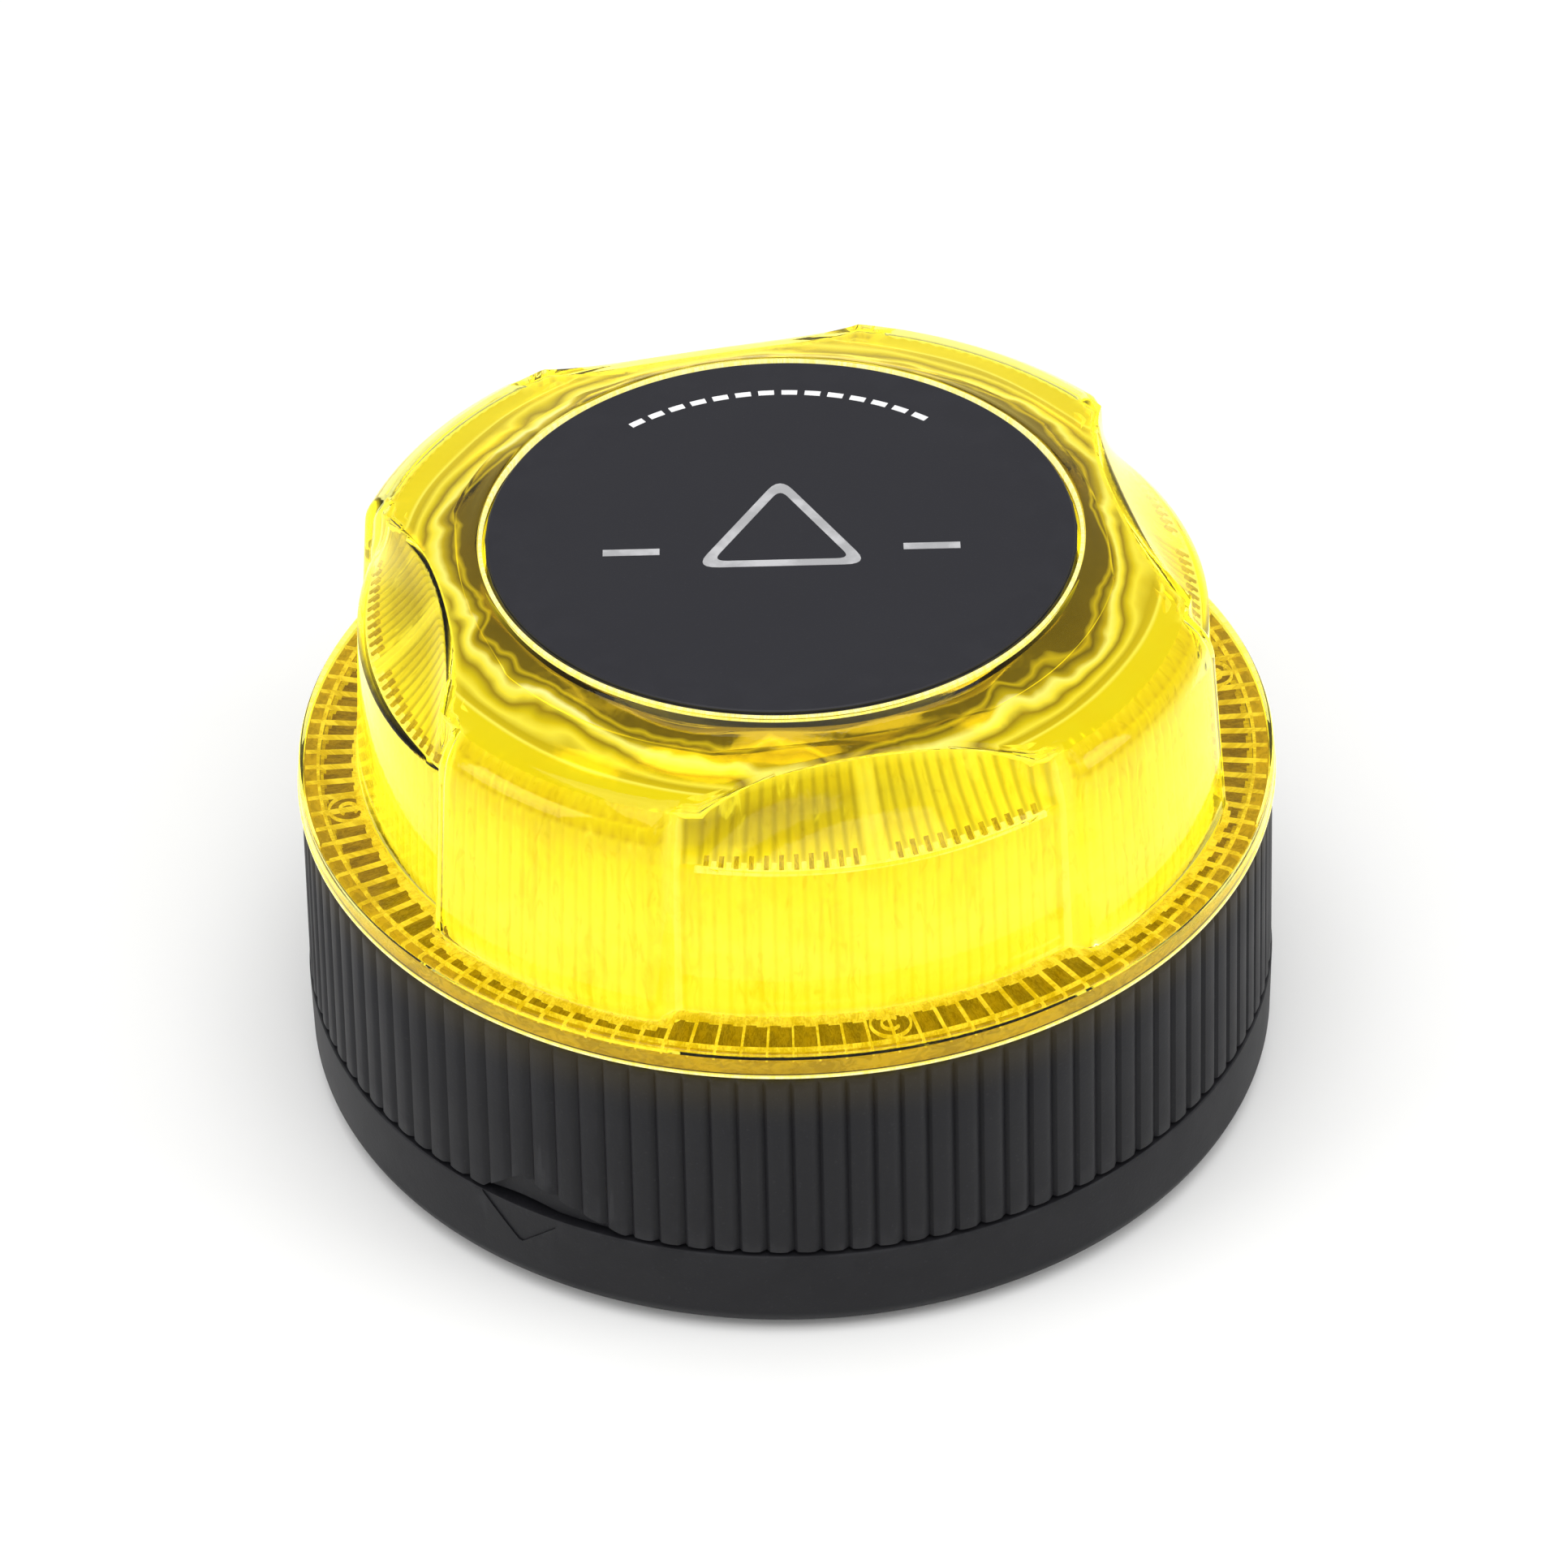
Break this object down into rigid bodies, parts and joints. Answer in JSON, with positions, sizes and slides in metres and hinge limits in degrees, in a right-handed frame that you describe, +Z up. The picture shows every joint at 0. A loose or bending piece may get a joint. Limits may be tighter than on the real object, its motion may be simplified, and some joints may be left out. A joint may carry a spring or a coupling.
{
  "type": "battery road flare",
  "caption": "Round magnetic battery road flare: amber lens with scooped windows, press-button top, ribbed black housing and a twist-off foot.",
  "frame": {"origin": "centre of the foot pad's underside, on the surface the flare stands on", "axes": "+Z up along the flare's axis, out of the button; -Y is the side with the twist mark; +X is to the right of it"},
  "size_m": [0.0968, 0.0968, 0.0594],
  "materials": {
    "amber_lens": "clear amber polycarbonate, polished outside, fine vertical flutes inside",
    "black_shell": "fine-spark texture, charcoal black",
    "satin_black": "smooth satin, charcoal black",
    "silicone": "translucent grey silicone",
    "black_rubber": "matte black",
    "metallised": "plastic with a bright vacuum-metallised skin",
    "board": "green solder mask",
    "lamp": "white package with a yellow phosphor face",
    "chip": "moulded black epoxy",
    "white_plastic": "plain moulded",
    "nickel": "nickel-plated",
    "steel": "zinc-plated",
    "brass": "turned, nickel flash",
    "ceramic": "unglazed ceramic with a silvered top",
    "cell_wrap": "printed film wrap over a can",
    "wire_red": "soft red insulation",
    "wire_black": "soft black insulation"
  },
  "bodies": {
    "housing": {"battery_holder": "black_shell", "board_screw_1": "steel", "board_screw_2": "steel", "board_screw_3": "steel", "board_spacer_1": "brass", "board_spacer_2": "brass", "board_spacer_3": "brass", "button_seal": "silicone", "button_spring": "steel", "cell_1": "cell_wrap", "cell_2": "cell_wrap", "cell_3": "cell_wrap", "coil_contact_1": "nickel", "coil_contact_2": "nickel", "coil_contact_3": "nickel", "controller_chip": "chip", "housing": "black_shell", "lamp_01": "lamp", "lamp_02": "lamp", "lamp_03": "lamp", "lamp_04": "lamp", "lamp_05": "lamp", "lamp_06": "lamp", "lamp_07": "lamp", "lamp_08": "lamp", "lamp_09": "lamp", "lamp_10": "lamp", "lamp_11": "lamp", "lamp_12": "lamp", "lead_negative": "wire_black", "lead_positive": "wire_red", "led_board": "board", "lens": "amber_lens", "lens_gasket": "silicone", "lens_screw_1": "steel", "lens_screw_2": "steel", "lens_screw_3": "steel", "lens_screw_4": "steel", "main_board": "board", "modem_can": "nickel", "position_antenna": "ceramic", "reflector": "metallised", "sim_chip": "chip", "stud_contact_1": "nickel", "stud_contact_2": "nickel", "stud_contact_3": "nickel", "switch_board": "board", "switch_body": "chip", "switch_lead": "wire_black"},
    "button": {"button_cap": "satin_black", "face_film": "satin_black"},
    "plunger": {"switch_plunger": "white_plastic"},
    "seal_ring": {"cover_seal": "black_rubber"},
    "cover": {"bottom_cover": "black_shell", "keeper_plate": "steel", "foot_pad": "black_rubber", "magnet_1": "nickel", "magnet_2": "nickel", "magnet_3": "nickel"}
  },
  "joints": [
    {"name": "button_press", "type": "slide", "parent": "housing", "child": "button", "axis": [0, 0, -1], "range_m": [0, 0.0008], "stiffness_N_per_m": 1500, "springref_m": -0.002, "deforming": ["button_spring"]},
    {"name": "plunger_travel", "type": "slide", "parent": "housing", "child": "plunger", "axis": [0, 0, -1], "range_m": [0, 0.0006]},
    {"name": "cover_drop", "type": "slide", "parent": "housing", "child": "seal_ring", "axis": [0, 0, -1], "range_m": [0, 0.0043]},
    {"name": "cover_turn", "type": "hinge", "parent": "seal_ring", "child": "cover", "pos_m": [0, 0, 0.0099], "axis": [0, 0, -1], "range_deg": [0, 42]}
  ],
  "couplings": [
    {"joint": "plunger_travel", "follows": "button_press", "ratio": 0.7},
    {"joint": "cover_drop", "follows": "cover_turn", "m_per_rad": 0.0057296}
  ]
}
